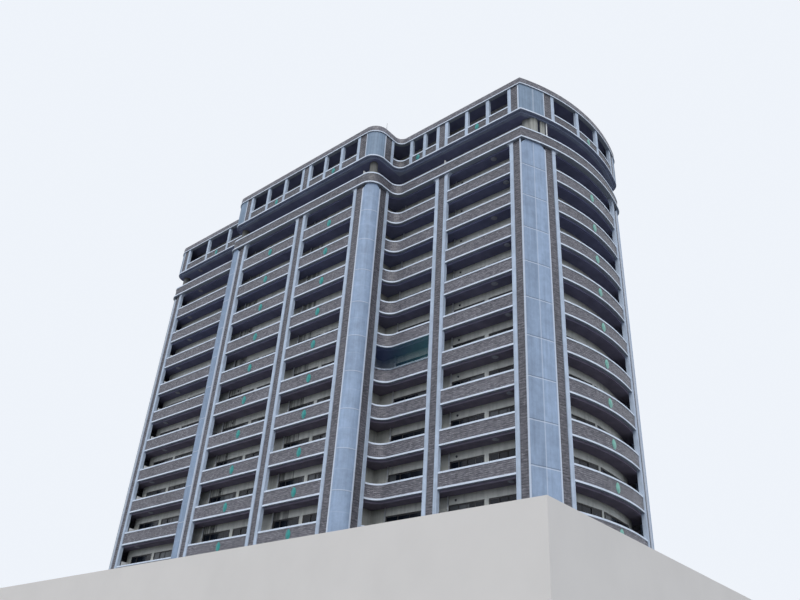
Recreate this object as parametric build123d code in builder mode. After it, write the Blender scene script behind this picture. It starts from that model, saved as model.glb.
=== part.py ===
import os
from math import cos, degrees, radians, sin, sqrt

from build123d import *

os.makedirs("parts", exist_ok=True)

# Every size is in millimetres of the model, which is half as large as the real building.
# X runs along the front, Y into the building and Z up from the ground.

# Storeys
storeys = 12
storey_height = 1450
slab_thickness = 100

# Balcony parapets, with a lip below and a coping on top
railing_height = 550
lip_drop = 20
trim_height = 60
trim_proud = 15
facade_depth = 125

# Cornice round the last storey but one, and the overhanging crown storey above it
cornice_proud = 60
cornice_lip_proud = 100
crown_proud = 100
crown_railing = 425
crown_clear_height = 1425
roof_band_height = 315
roof_band_drop = 90
roof_band_proud = 40
roof_lip_height = 45
roof_slab_thickness = 100

# Plan
half_depth = 4000
left_end = -11100
step_x = -5000
return_x = 4250
west_setback = 975
east_setback = 1515
column_radius = 475
bow_radius = 8450
bow_centre_x = 3130
bow_centre_y = 1650

# Posts, piers and rounded columns
post_width = 150
post_proud = 20
haunch = 160
pier_recess = 15
pier_gap = 225
column_proud = 20
column_return = 25
border_width = 50
border_proud = 18
shoulder_width = 200
shoulder_height = 240

# Walls behind the balconies
balcony_depth = 600
inner_wall = 90
door_spacing = 1600
door_gap = 160
door_height = 1070
recess_column_radius = 170
recess_column_inset = 400

# Lightning rod
rod_radius = 12
rod_height = 720
rod_foot_radius = 45
rod_foot_height = 30
rod_side_inset = 80
rod_front_inset = 650

# Places along the front, from the left
post_a_left = -10250
step_column_border = -4195
post_b_left = -3825
post_c_right = 3300
return_column_border = 3750
return_post_setback = 960
crown_posts_d = (5025, 5760)
pier_e_centre = 6710
corner_post_gap = 449
corner_border = 70

# Angles round the bowed end, from its centre
pilaster_middle_angle = -25.8
pilaster_end_angle = -22.2
post_f_left_angle = -19.4
post_f_right_angle = 9.2
rear_column_angle = 11.8

# How far the plan areas that pick out stretches of the facade reach past it
reach = 250
far = 20000
corner_sweep = 60

# Lines that follow from the sizes
front_y = -half_depth
west_y = front_y + west_setback
east_y = front_y + east_setback
rear_y = half_depth
return_post_y = front_y + return_post_setback
column_end = column_radius + column_return
left_column_border = left_end + column_radius
post_half = post_width / 2
post_a_right = step_x - post_half
post_b_right = -pier_gap
post_c_left = pier_gap
post_d_right = pier_e_centre - pier_gap
post_e_left = pier_e_centre + pier_gap


def floor_level(storey):
    return slab_thickness + (storey - 1) * storey_height


cornice_bottom = floor_level(storeys - 1) - lip_drop
cornice_top = floor_level(storeys - 1) + railing_height
cornice_tile_height = cornice_top - cornice_bottom - 2 * trim_height
crown_floor = floor_level(storeys)
crown_base = crown_floor - lip_drop + trim_height
roof_underside = crown_floor + crown_clear_height
roof_band_bottom = roof_underside - roof_band_drop


def bow_x(y, inset=0):
    return bow_centre_x + sqrt((bow_radius - inset) ** 2 - (y - bow_centre_y) ** 2)


def bow_point(angle, radius):
    turn = radians(angle)
    return (bow_centre_x + radius * cos(turn), bow_centre_y + radius * sin(turn))


corner_x = bow_x(east_y)
post_e_right = corner_x - corner_post_gap
border_angle = degrees(border_width / bow_radius)
rear_column_y = rear_y - column_radius
rear_column_x = bow_x(rear_column_y, column_radius)
rear_column_border = rear_column_x - column_return
post_rear_right = rear_column_border - column_radius


# Plan shapes
def corners_at(plan, places):
    return [
        min(plan.vertices(), key=lambda v: (v.X - x) ** 2 + (v.Y - y) ** 2) for x, y in places
    ]


def square_footprint(inset):
    # The plan's outline with square corners, set in from the facade
    left = left_end + inset
    step = step_x + inset
    side = return_x - inset
    front = front_y + inset
    west = west_y + inset
    east = east_y + inset
    rear = rear_y - inset
    corner = (bow_x(east, inset), east)
    rear_corner = (bow_x(rear, inset), rear)
    bow_middle = (bow_centre_x + bow_radius - inset, bow_centre_y)
    with BuildSketch() as plan:
        with BuildLine():
            Polyline(rear_corner, (left, rear), (left, west), (step, west), (step, front))
            Polyline((step, front), (side, front), (side, east), corner)
            ThreePointArc(corner, bow_middle, rear_corner)
        make_face()
    return plan.sketch


def footprint(inset):
    # The outline with the facade's rounded corners, all but the sharp one of the bow
    left = left_end + inset
    side = return_x - inset
    front = front_y + inset
    rear = rear_y - inset
    rounded = [(left, rear), (left, west_y + inset), (step_x + inset, front), (side, front)]
    rounded.append((bow_x(rear, inset), rear))
    with BuildSketch() as plan:
        add(square_footprint(inset))
        fillet(corners_at(plan, rounded), column_radius - inset)
        fillet(corners_at(plan, [(side, east_y + inset)]), column_radius + inset)
    return plan.sketch


def between_outlines(outer, inner):
    with BuildSketch() as band:
        add(outer)
        add(inner, mode=Mode.SUBTRACT)
    return band.sketch


def stretches(band, areas):
    # Only the stretches of a band that lie in the given areas
    with BuildSketch() as kept:
        add(areas)
        add(band, mode=Mode.INTERSECT)
    return kept.sketch


def rest_of(band, areas):
    with BuildSketch() as rest:
        add(band)
        add(areas, mode=Mode.SUBTRACT)
    return rest.sketch


def box_area(x_start, x_end, y_start, y_end):
    with BuildSketch() as area:
        with Locations(((x_start + x_end) / 2, (y_start + y_end) / 2)):
            Rectangle(abs(x_end - x_start), abs(y_end - y_start))
    return area.sketch


def front_area(x_start, x_end, y):
    # The stretch of a straight facade between two places
    return box_area(x_start, x_end, y - reach, y + reach)


def bow_area(start, end):
    # The stretch of the bowed end between two angles
    length = bow_radius + 4 * reach
    with BuildSketch() as sector:
        with BuildLine():
            Polyline(
                (bow_centre_x, bow_centre_y),
                bow_point(start, length),
                bow_point(end, length),
                close=True,
            )
        make_face()
    return sector.sketch


def post_edge(angle, side):
    # The angle of a post's side face on the bow
    return angle + side * degrees(post_half / (bow_radius - facade_depth))


def raise_bands(layers):
    # Stacks plan bands: each layer is a sketch, its level and its height
    with BuildPart() as stack:
        for band, level, height in layers:
            with BuildSketch(Plane.XY.offset(level)):
                add(band)
            extrude(amount=height)
    return stack.part


def lifted(part, *levels):
    with BuildPart() as copies:
        with Locations(*[(0, 0, level) for level in levels]):
            add(part)
    return copies.part


def save(part, name):
    part.label = name
    export_step(part, f"parts/{name}.step")


# Bays between the posts, on the front, round the bow and on the rear
front_bays = [
    front_area(post_a_left + post_half, post_a_right - post_half, west_y),
    front_area(post_b_left + post_half, post_b_right - post_half, front_y),
    front_area(post_c_left + post_half, post_c_right - post_half, front_y),
    box_area(return_x - reach, post_d_right - post_half, return_post_y + post_half, east_y + reach),
    front_area(post_e_left + post_half, post_e_right - post_half, east_y),
    bow_area(post_edge(post_f_left_angle, 1), post_edge(post_f_right_angle, -1)),
]
rear_pier_centres = [step_x + 2 * pier_gap, 0, pier_e_centre]
rear_posts = [post_a_left]
for pier_centre in rear_pier_centres:
    rear_posts += [pier_centre - pier_gap, pier_centre + pier_gap]
rear_posts.append(post_rear_right)
rear_spans = [(rear_posts[i], rear_posts[i + 1]) for i in range(0, len(rear_posts), 2)]
rear_bays = [front_area(left + post_half, right - post_half, rear_y) for left, right in rear_spans]

# Outlines and bands that several pieces share
face_outline = footprint(0)
trim_outline = footprint(trim_proud)
pier_outline = footprint(pier_recess)
slab_outline = footprint(facade_depth)
crown_outline = footprint(-crown_proud)
crown_tile_outline = footprint(trim_proud - crown_proud)
crown_slab_outline = footprint(facade_depth - crown_proud)
crown_band = between_outlines(crown_outline, crown_slab_outline)
crown_tile_band = between_outlines(crown_tile_outline, crown_slab_outline)
pier_band = between_outlines(pier_outline, slab_outline)

# Floors
save(raise_bands([(slab_outline, 0, slab_thickness)]), "ground_slab")
floor_slab = raise_bands([(slab_outline, -slab_thickness, slab_thickness)])
for storey in range(2, storeys):
    save(lifted(floor_slab, floor_level(storey)), f"floor_slab_{storey:02d}")
crown_slab = raise_bands(
    [
        (crown_slab_outline, crown_floor - slab_thickness, slab_thickness),
        (crown_band, crown_floor - lip_drop, trim_height),
    ]
)
save(crown_slab, "crown_slab")
roof_slab = raise_bands([(crown_slab_outline, roof_underside, roof_slab_thickness)])
save(roof_slab, "roof_slab")

# Balcony parapets, one row a storey
coping_band = stretches(between_outlines(face_outline, slab_outline), front_bays + rear_bays)
tile_band = stretches(between_outlines(trim_outline, slab_outline), front_bays + rear_bays)


def parapet_row(drop):
    # A row at floor level 0 that reaches down below the floor by the given drop
    tile_height = railing_height + drop - 2 * trim_height
    return raise_bands(
        [
            (coping_band, -drop, trim_height),
            (tile_band, trim_height - drop, tile_height),
            (coping_band, railing_height - trim_height, trim_height),
        ]
    )


save(lifted(parapet_row(slab_thickness), floor_level(1)), "parapets_01")
upper_row = parapet_row(lip_drop)
for storey in range(2, storeys - 1):
    save(lifted(upper_row, floor_level(storey)), f"parapets_{storey:02d}")

# Roof band with its lip
roof_lip_outline = footprint(-crown_proud - roof_band_proud)
roof_tile_outline = footprint(trim_proud - crown_proud - roof_band_proud)
roof_tile_bottom = roof_band_bottom + roof_lip_height
roof_tile_height = roof_band_height - roof_lip_height
roof_band = raise_bands(
    [
        (between_outlines(roof_lip_outline, crown_slab_outline), roof_band_bottom, roof_lip_height),
        (between_outlines(roof_tile_outline, crown_slab_outline), roof_tile_bottom, roof_tile_height),
    ]
)
save(roof_band, "roof_band")


# Posts with a rounded haunch under the cornice
def facade_plane(x, y, normal_x, normal_y):
    # Upright plane whose X runs along the facade and whose Y runs up
    return Plane(origin=(x, y, 0), x_dir=(-normal_y, normal_x, 0), z_dir=(normal_x, normal_y, 0))


def bow_plane(angle):
    x, y = bow_point(angle, bow_radius)
    return facade_plane(x, y, cos(radians(angle)), sin(radians(angle)))


def post_profile(side):
    with BuildSketch() as profile:
        with Locations((0, cornice_bottom / 2)):
            Rectangle(post_width, cornice_bottom)
        if side:
            with Locations((side * (post_half + haunch / 2), cornice_bottom - haunch / 2)):
                Rectangle(haunch, haunch)
            with Locations((side * (post_half + haunch), cornice_bottom - haunch)):
                Circle(haunch, mode=Mode.SUBTRACT)
    return profile.sketch


def post_row(places):
    profiles = {side: post_profile(side) for side in (-1, 0, 1)}
    with BuildPart() as row:
        for plane, side in places:
            with BuildSketch(plane.offset(-facade_depth)):
                add(profiles[side])
            extrude(amount=facade_depth + post_proud)
    return row.part


front_post_places = [
    (facade_plane(post_a_left, west_y, 0, -1), 1),
    (facade_plane(post_a_right, west_y, 0, -1), -1),
    (facade_plane(post_b_left, front_y, 0, -1), 1),
    (facade_plane(post_b_right, front_y, 0, -1), -1),
    (facade_plane(post_c_left, front_y, 0, -1), 1),
    (facade_plane(post_c_right, front_y, 0, -1), -1),
    (facade_plane(return_x, return_post_y, 1, 0), 0),
    (facade_plane(post_d_right, east_y, 0, -1), -1),
    (facade_plane(post_e_left, east_y, 0, -1), 1),
    (facade_plane(post_e_right, east_y, 0, -1), -1),
    (bow_plane(post_f_left_angle), 1),
    (bow_plane(post_f_right_angle), -1),
]
rear_post_places = []
for left, right in rear_spans:
    rear_post_places.append((facade_plane(left, rear_y, 0, 1), -1))
    rear_post_places.append((facade_plane(right, rear_y, 0, 1), 1))
save(post_row(front_post_places), "front_posts")
save(post_row(rear_post_places), "rear_posts")

# Tiled piers between the posts and the columns, and the plain gable
front_pier_areas = [
    front_area(left_column_border, post_a_left - post_half, west_y),
    front_area(step_column_border, post_b_left - post_half, front_y),
    front_area(post_b_right + post_half, post_c_left - post_half, front_y),
    front_area(post_c_right + post_half, return_column_border, front_y),
    box_area(return_x - reach, return_x + reach, front_y + column_end, return_post_y - post_half),
    front_area(post_d_right + post_half, post_e_left - post_half, east_y),
    front_area(post_e_right + post_half, corner_x - corner_border, east_y),
    bow_area(pilaster_end_angle, post_edge(post_f_left_angle, -1)),
    bow_area(post_edge(post_f_right_angle, 1), rear_column_angle),
]
rear_pier_areas = [
    front_area(centre - pier_gap + post_half, centre + pier_gap - post_half, rear_y)
    for centre in rear_pier_centres
]
rear_pier_areas.append(front_area(left_column_border, post_a_left - post_half, rear_y))
rear_pier_areas.append(front_area(post_rear_right + post_half, rear_column_border, rear_y))
pier_areas = front_pier_areas + rear_pier_areas
gable_area = box_area(left_end - reach, left_end + reach, west_y + column_end, rear_y - column_end)
save(raise_bands([(stretches(pier_band, pier_areas), 0, cornice_bottom)]), "tiled_piers")
save(raise_bands([(stretches(pier_band, [gable_area]), 0, cornice_bottom)]), "gable_wall")

# Rounded columns that wrap the corners, with light borders and sloped shoulders
column_outline = footprint(-column_proud)
column_band = between_outlines(column_outline, slab_outline)
column_border_band = between_outlines(footprint(-column_proud - border_proud), slab_outline)


def shoulder(plane, side):
    # Triangle that slopes a column's head on one side
    with BuildPart() as cut:
        with BuildSketch(plane.offset(-reach)):
            with BuildLine():
                Polyline(
                    (0, cornice_bottom - shoulder_height),
                    (side * shoulder_width, cornice_bottom),
                    (0, cornice_bottom),
                    close=True,
                )
            make_face()
        extrude(amount=2 * reach)
    return cut.part


def rounded_column(area, border_areas, shoulders):
    core = stretches(column_band, [area])
    borders = stretches(column_border_band, border_areas)
    cuts = [shoulder(plane, side) for plane, side in shoulders]
    with BuildPart() as column:
        with BuildSketch():
            add(core)
            add(borders)
        extrude(amount=cornice_bottom)
        add(cuts, mode=Mode.SUBTRACT)
    return column.part


def corner_area(x, y, edge_x, edge_y):
    # The plan round a corner, from past it to the given edges on its two faces
    toward_x = 1 if edge_x > x else -1
    toward_y = 1 if edge_y > y else -1
    return box_area(x - toward_x * reach, edge_x, y - toward_y * reach, edge_y)


def corner_column(x, y, edge_x, edge_y):
    toward_x = 1 if edge_x > x else -1
    toward_y = 1 if edge_y > y else -1
    border_areas = [
        front_area(edge_x - toward_x * border_width, edge_x, y),
        box_area(x - reach, x + reach, edge_y - toward_y * border_width, edge_y),
    ]
    shoulders = [
        (facade_plane(edge_x, y, 0, -toward_y), -toward_x * toward_y),
        (facade_plane(x, edge_y, -toward_x, 0), toward_x * toward_y),
    ]
    return rounded_column(corner_area(x, y, edge_x, edge_y), border_areas, shoulders)


left_corner = (left_end, west_y, left_column_border, west_y + column_end)
step_corner = (step_x, front_y, step_column_border, front_y + column_end)
return_corner = (return_x, front_y, return_column_border, front_y + column_end)
left_rear_corner = (left_end, rear_y, left_column_border, rear_y - column_end)
save(corner_column(*left_corner), "left_column")
save(corner_column(*step_corner), "step_column")
save(corner_column(*return_corner), "return_column")

with BuildSketch() as rear_corner_plan:
    add(box_area(rear_column_border, far, bow_centre_y, rear_y + reach))
    add(bow_area(rear_column_angle, corner_sweep), mode=Mode.INTERSECT)
rear_column = rounded_column(
    rear_corner_plan.sketch,
    [
        bow_area(rear_column_angle, rear_column_angle + border_angle),
        front_area(rear_column_border, rear_column_border + border_width, rear_y),
    ],
    [
        (bow_plane(rear_column_angle), 1),
        (facade_plane(rear_column_border, rear_y, 0, 1), -1),
    ],
)
with BuildPart() as rear_columns:
    add(rear_column)
    add(corner_column(*left_rear_corner))
save(rear_columns.part, "rear_columns")

# Pilaster on the sharp corner, which starts on the front and turns onto the bow
pilaster_front_x = corner_x - corner_border
pilaster_front_plane = facade_plane(
    pilaster_front_x, east_y, (corner_x - bow_centre_x) / bow_radius, (east_y - bow_centre_y) / bow_radius
)
with BuildSketch() as pilaster_plan:
    add(box_area(pilaster_front_x, far, east_y - reach, bow_centre_y))
    add(bow_area(-corner_sweep, pilaster_end_angle), mode=Mode.INTERSECT)
corner_pilaster = rounded_column(
    pilaster_plan.sketch,
    [
        box_area(pilaster_front_x, corner_x + reach, east_y - reach, east_y + border_width),
        bow_area(pilaster_end_angle - border_angle, pilaster_end_angle),
    ],
    [(pilaster_front_plane, 1), (bow_plane(pilaster_end_angle), -1)],
)
save(corner_pilaster, "corner_pilaster")

# Cornice round the recessed storey, in corner pieces and the lengths between them
cornice_layers = [
    (between_outlines(footprint(-cornice_lip_proud), slab_outline), trim_height),
    (between_outlines(footprint(trim_proud - cornice_proud), slab_outline), cornice_tile_height),
    (between_outlines(footprint(-cornice_proud), slab_outline), trim_height),
]
cornice_corner_areas = [
    corner_area(*left_corner),
    corner_area(*left_rear_corner),
    box_area(step_x - reach, step_column_border, front_y - reach, west_y + reach),
    box_area(return_column_border, return_x + column_radius, front_y - reach, east_y + reach),
    pilaster_plan.sketch,
    rear_corner_plan.sketch,
]


def cornice(pick):
    level = cornice_bottom
    layers = []
    for band, height in cornice_layers:
        layers.append((pick(band, cornice_corner_areas), level, height))
        level += height
    return raise_bands(layers)


save(cornice(stretches), "cornice_corners")
save(cornice(rest_of), "cornice_lengths")

# Walls behind the balconies, with doorways for the flats
inner_depth = balcony_depth + inner_wall
inner_band = between_outlines(square_footprint(balcony_depth), square_footprint(inner_depth))
wall_line = balcony_depth + inner_wall / 2


def doorways(x_start, x_end, y):
    # Wide doorways with slim piers between them, as (x, y, turn, width) on a straight wall
    count = round((x_end - x_start) / door_spacing)
    pitch = (x_end - x_start) / count
    return [(x_start + pitch * (i + 0.5), y, 0, pitch - door_gap) for i in range(count)]


def bow_doorways(start, end):
    radius = bow_radius - wall_line
    count = round(radius * radians(end - start) / door_spacing)
    pitch = (end - start) / count
    width = radius * radians(pitch) - door_gap
    angles = [start + pitch * (i + 0.5) for i in range(count)]
    return [(*bow_point(angle, radius), angle + 90, width) for angle in angles]


def storey_wall(plan, doors, height):
    with BuildPart() as wall:
        with BuildSketch():
            add(plan)
        extrude(amount=height)
        if doors:
            with BuildSketch():
                for x, y, turn, width in doors:
                    with Locations(Location((x, y, 0), (0, 0, turn))):
                        Rectangle(width, 4 * inner_wall)
            extrude(amount=door_height, mode=Mode.SUBTRACT)
    return wall.part


def flat_walls(areas, doors):
    plan = stretches(inner_band, areas)
    full_storey = storey_wall(plan, doors, storey_height - slab_thickness)
    levels = [floor_level(storey) for storey in range(1, storeys)]
    with BuildPart() as walls:
        add(lifted(full_storey, *levels))
        add(lifted(storey_wall(plan, doors, crown_clear_height), crown_floor))
    return walls.part


inner_west = west_y + inner_depth
inner_east = east_y + inner_depth
inner_rear = rear_y - inner_depth
left_room_x = left_end + inner_depth
step_wall_x = (step_x + balcony_depth, step_x + inner_depth)
return_wall_x = (return_x - inner_depth, return_x - balcony_depth)
front_wall_areas = [
    box_area(left_room_x, step_wall_x[0], -far, inner_west),
    box_area(step_wall_x[1], return_wall_x[0], -far, 0),
    box_area(return_wall_x[1], far, -far, inner_east),
]
side_wall_areas = [
    box_area(-far, left_room_x, -far, far),
    box_area(*step_wall_x, -far, inner_west),
    box_area(*return_wall_x, -far, inner_east),
]
bow_wall_areas = [box_area(bow_centre_x, far, inner_east, inner_rear)]
rear_wall_areas = [box_area(left_room_x, far, inner_rear, far)]

front_doors = doorways(post_a_left, post_a_right, west_y + wall_line)
front_doors += doorways(post_b_left, post_b_right, front_y + wall_line)
front_doors += doorways(post_c_left, post_c_right, front_y + wall_line)
front_doors += doorways(return_x, post_d_right, east_y + wall_line)
front_doors += doorways(post_e_left, post_e_right, east_y + wall_line)
bow_doors = bow_doorways(post_f_left_angle, post_f_right_angle)
rear_doors = []
for left, right in rear_spans:
    rear_doors += doorways(left, right, rear_y - wall_line)

save(flat_walls(front_wall_areas, front_doors), "front_flat_walls")
save(flat_walls(side_wall_areas, []), "side_flat_walls")
save(flat_walls(bow_wall_areas, bow_doors), "bow_flat_walls")
save(flat_walls(rear_wall_areas, rear_doors), "rear_flat_walls")

# Cream columns that stand in the recessed storey and carry the crown
recess_rear_y = rear_y - recess_column_inset
recess_places = [
    (left_end + recess_column_inset, west_y + recess_column_inset),
    (step_x + recess_column_inset, front_y + recess_column_inset),
    (return_x - recess_column_inset, front_y + recess_column_inset),
    (bow_x(recess_rear_y, recess_column_inset), recess_rear_y),
    (left_end + recess_column_inset, recess_rear_y),
    bow_point(pilaster_middle_angle, bow_radius - recess_column_inset),
]
with BuildPart() as recess_columns:
    with BuildSketch(Plane.XY.offset(floor_level(storeys - 1))):
        with Locations(*recess_places):
            Circle(recess_column_radius)
    extrude(amount=storey_height - slab_thickness)
save(recess_columns.part, "recess_columns")


# Crown storey: closely spaced posts, low parapets, column heads and tiled strips
def divided(start, end, parts):
    return [start + (end - start) * i / parts for i in range(parts + 1)]


crown_places = [(x, west_y) for x in divided(post_a_left, post_a_right, 3)[:-1]]
crown_places.append((post_a_right - crown_proud, west_y))
crown_places += [(x, front_y) for x in divided(post_b_left, post_b_right, 3)]
crown_places += [(x, front_y) for x in divided(post_c_left, post_c_right, 3)]
crown_places += [(x, east_y) for x in (*crown_posts_d, post_d_right)]
crown_places += [(x, east_y) for x in divided(post_e_left, post_e_right, 3)]
for left, right in rear_spans:
    crown_places += [(x, rear_y) for x in divided(left, right, 3)]
return_post_edges = (return_post_y - post_half, return_post_y + post_half)
crown_post_areas = [front_area(x - post_half, x + post_half, y) for x, y in crown_places]
crown_post_areas.append(box_area(return_x - reach, return_x + reach, *return_post_edges))
for angle in divided(post_f_left_angle, post_f_right_angle, 3):
    crown_post_areas.append(bow_area(post_edge(angle, -1), post_edge(angle, 1)))
crown_height = roof_band_bottom - crown_base
crown_post_plan = stretches(crown_band, crown_post_areas)
save(raise_bands([(crown_post_plan, crown_base, crown_height)]), "crown_posts")


def open_between_posts(band):
    return rest_of(stretches(band, front_bays + rear_bays), [crown_post_plan])


crown_coping_bottom = crown_floor + crown_railing - trim_height
crown_parapets = raise_bands(
    [
        (open_between_posts(crown_tile_band), crown_base, crown_coping_bottom - crown_base),
        (open_between_posts(crown_band), crown_coping_bottom, trim_height),
    ]
)
save(crown_parapets, "crown_parapets")

strip_band = between_outlines(footprint(pier_recess - crown_proud), crown_slab_outline)
strip_plan = stretches(strip_band, pier_areas + [gable_area])
save(raise_bands([(strip_plan, crown_base, crown_height)]), "crown_strips")

head_corners = [left_corner, step_corner, return_corner, left_rear_corner]
head_areas = [corner_area(*corner) for corner in head_corners]
head_areas += [rear_corner_plan.sketch, pilaster_plan.sketch]
head_plan = stretches(crown_band, head_areas)
save(raise_bands([(head_plan, crown_base, crown_height)]), "crown_column_heads")

# Lightning rod on the roof
roof_deck = roof_underside + roof_slab_thickness
rod_place = (return_x - rod_side_inset, front_y + rod_front_inset)
with BuildPart() as lightning_rod:
    with BuildSketch(Plane.XY.offset(roof_deck)):
        with Locations(rod_place):
            Circle(rod_foot_radius)
    extrude(amount=rod_foot_height)
    with BuildSketch(Plane.XY.offset(roof_deck + rod_foot_height)):
        with Locations(rod_place):
            Circle(rod_radius)
    extrude(amount=rod_height)
save(lightning_rod.part, "lightning_rod")
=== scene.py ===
import math

import bpy
from mathutils import Matrix, Vector


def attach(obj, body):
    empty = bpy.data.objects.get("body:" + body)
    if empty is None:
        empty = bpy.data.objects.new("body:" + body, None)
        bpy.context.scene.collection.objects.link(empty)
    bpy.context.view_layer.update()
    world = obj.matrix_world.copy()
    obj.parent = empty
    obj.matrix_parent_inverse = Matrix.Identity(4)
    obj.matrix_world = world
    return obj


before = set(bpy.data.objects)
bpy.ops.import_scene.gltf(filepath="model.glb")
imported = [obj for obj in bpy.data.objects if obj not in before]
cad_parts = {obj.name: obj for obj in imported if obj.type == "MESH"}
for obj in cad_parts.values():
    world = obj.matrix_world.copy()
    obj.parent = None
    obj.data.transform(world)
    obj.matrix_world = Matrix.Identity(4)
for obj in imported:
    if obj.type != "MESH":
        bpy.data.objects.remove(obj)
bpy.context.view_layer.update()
print("frame loaded,", len(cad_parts), "nodes")

# Lines of the building, in metres: the same sizes as in the CAD source
building = {
    "storeys": 12,
    "storeyHeight": 1.45,
    "firstFloor": 0.1,
    "slab": 0.1,
    "railing": 0.55,
    "trim": 0.06,
    "wallInset": 0.6,
    "wallThickness": 0.09,
    "doorHeight": 1.07,
    "doorSpacing": 1.6,
    "doorGap": 0.16,
    "bowCentre": (3.13, 1.65),
    "bowRadius": 8.45,
    "crownProud": 0.1,
    "parapetRows": 10,
    "recessStorey": 11,
}

# Bays: straight ones run between two places on X, the bowed one between two angles
bays = {
    "leftWing": {"span": (-10.25, -5.075), "y": -3.025, "front": True},
    "middleLeft": {"span": (-3.825, -0.225), "y": -4.0, "front": True},
    "middleRight": {"span": (0.225, 3.3), "y": -4.0, "front": True},
    "hollow": {"span": (4.25, 6.485), "y": -2.485, "front": True},
    "rightWing": {"span": (6.935, 10.05), "y": -2.485, "front": True},
    "bow": {"angles": (-19.4, 9.2)},
    "rearOne": {"span": (-10.25, -4.775), "y": 4.0, "front": False},
    "rearTwo": {"span": (-4.325, -0.225), "y": 4.0, "front": False},
    "rearThree": {"span": (0.225, 6.485), "y": 4.0, "front": False},
    "rearFour": {"span": (6.935, 10.3815), "y": 4.0, "front": False},
}


def floorLevel(storey):
    return building["firstFloor"] + (storey - 1) * building["storeyHeight"]


def spot(bay, share, inset):
    # A place in a bay: its point in plan, the direction along the facade and the one outwards
    if "angles" in bay:
        start, end = bay["angles"]
        turn = math.radians(start + (end - start) * share)
        out = Vector((math.cos(turn), math.sin(turn), 0))
        centre = Vector((*building["bowCentre"], 0))
        return centre + out * (building["bowRadius"] - inset), Vector((-out.y, out.x, 0)), out
    start, end = bay["span"]
    out = Vector((0, -1 if bay["front"] else 1, 0))
    point = Vector((start + (end - start) * share, bay["y"], 0)) - out * inset
    return point, Vector((-out.y, out.x, 0)), out


def frontSpot(x, y):
    return Vector((x, y, 0)), Vector((1, 0, 0)), Vector((0, -1, 0))


def bayLength(bay, inset):
    if "angles" in bay:
        start, end = bay["angles"]
        return math.radians(end - start) * (building["bowRadius"] - inset)
    return bay["span"][1] - bay["span"][0]


# Shader nodes
def tree(name):
    material = bpy.data.materials.new(name)
    material.use_nodes = True
    material.node_tree.nodes.clear()
    return material, material.node_tree


def add(nodes, kind, sockets=None, **settings):
    # One node: its settings, and its sockets either set or linked
    made = nodes.nodes.new(kind)
    for key, value in settings.items():
        setattr(made, key, value)
    for key, value in (sockets or {}).items():
        if isinstance(value, bpy.types.NodeSocket):
            nodes.links.new(value, made.inputs[key])
        else:
            made.inputs[key].default_value = value
    return made


def calc(nodes, operation, first, second=0.0):
    return add(nodes, "ShaderNodeMath", {0: first, 1: second}, operation=operation).outputs[0]


def times(nodes, first, second):
    return calc(nodes, "MULTIPLY", first, second)


def isOver(nodes, value, limit):
    return calc(nodes, "GREATER_THAN", value, limit)


def isUnder(nodes, value, limit):
    return calc(nodes, "LESS_THAN", value, limit)


def inside(nodes, value, low, high):
    return times(nodes, isOver(nodes, value, low), isUnder(nodes, value, high))


def either(nodes, first, second):
    return calc(nodes, "MAXIMUM", first, second)


def counted(nodes, value, start, step):
    # How many steps lie between the start and the value
    return calc(nodes, "DIVIDE", calc(nodes, "SUBTRACT", value, start), step)


def intoStep(nodes, count, step):
    # How far the value has come in its own step
    return times(nodes, calc(nodes, "FRACT", count), step)


def mixValue(nodes, share, first, second):
    # Sockets of the number Mix node: 2 and 3 are the numbers
    sockets = {0: share, 2: first, 3: second}
    return add(nodes, "ShaderNodeMix", sockets, data_type="FLOAT").outputs[0]


def blend(nodes, share, first, second, kind="MIX"):
    # Sockets of the colour Mix node: 6 and 7 are the colours, 2 the result
    sockets = {0: share, 6: first, 7: second}
    return add(nodes, "ShaderNodeMix", sockets, data_type="RGBA", blend_type=kind).outputs[2]


def toned(nodes, colour, value):
    # The colour, darker or lighter by one value
    grey = add(nodes, "ShaderNodeCombineColor", {0: value, 1: value, 2: value}).outputs[0]
    return blend(nodes, 1.0, colour, grey, "MULTIPLY")


def painted(nodes, colour, where, strength, paint):
    return blend(nodes, times(nodes, where, strength), colour, paint)


def noise(nodes, vector, scale, detail=3.0, roughness=0.55):
    sockets = {"Vector": vector, "Scale": scale, "Detail": detail, "Roughness": roughness}
    return add(nodes, "ShaderNodeTexNoise", sockets).outputs["Fac"]


def remap(nodes, value, low, high, toLow, toHigh):
    sockets = {0: value, 1: low, 2: high, 3: toLow, 4: toHigh}
    return add(nodes, "ShaderNodeMapRange", sockets).outputs[0]


def varied(nodes, vector, scale, spread, tones, detail=3.0, roughness=0.55):
    # Noise whose spread is drawn out between two tones
    return remap(nodes, noise(nodes, vector, scale, detail, roughness), *spread, *tones)


def chance(nodes, number):
    # A random value that is fixed for each whole number
    made = add(nodes, "ShaderNodeTexWhiteNoise", {"W": number}, noise_dimensions="1D")
    return made.outputs["Value"]


def stretched(nodes, position, scale):
    return add(nodes, "ShaderNodeMapping", {"Vector": position, "Scale": scale}).outputs[0]


def objectPlace(nodes):
    return add(nodes, "ShaderNodeTexCoord").outputs["Object"]


def split(nodes, vector):
    return add(nodes, "ShaderNodeSeparateXYZ", {0: vector}).outputs


def faceNormal(nodes):
    return split(nodes, add(nodes, "ShaderNodeNewGeometry").outputs["True Normal"])


def alongFacade(nodes, parts, facing):
    # X or Y, whichever the face follows
    east, north = calc(nodes, "ABSOLUTE", facing["X"]), calc(nodes, "ABSOLUTE", facing["Y"])
    return mixValue(nodes, isOver(nodes, east, north), parts["X"], parts["Y"])


def aboveFloor(nodes, parts):
    # Height over the floor of the storey
    step = building["storeyHeight"]
    return intoStep(nodes, counted(nodes, parts["Z"], building["firstFloor"], step), step)


def fromBowCentre(nodes, parts):
    centreX, centreY = building["bowCentre"]
    east = calc(nodes, "SUBTRACT", parts["X"], centreX)
    return east, calc(nodes, "SUBTRACT", parts["Y"], centreY)


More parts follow.
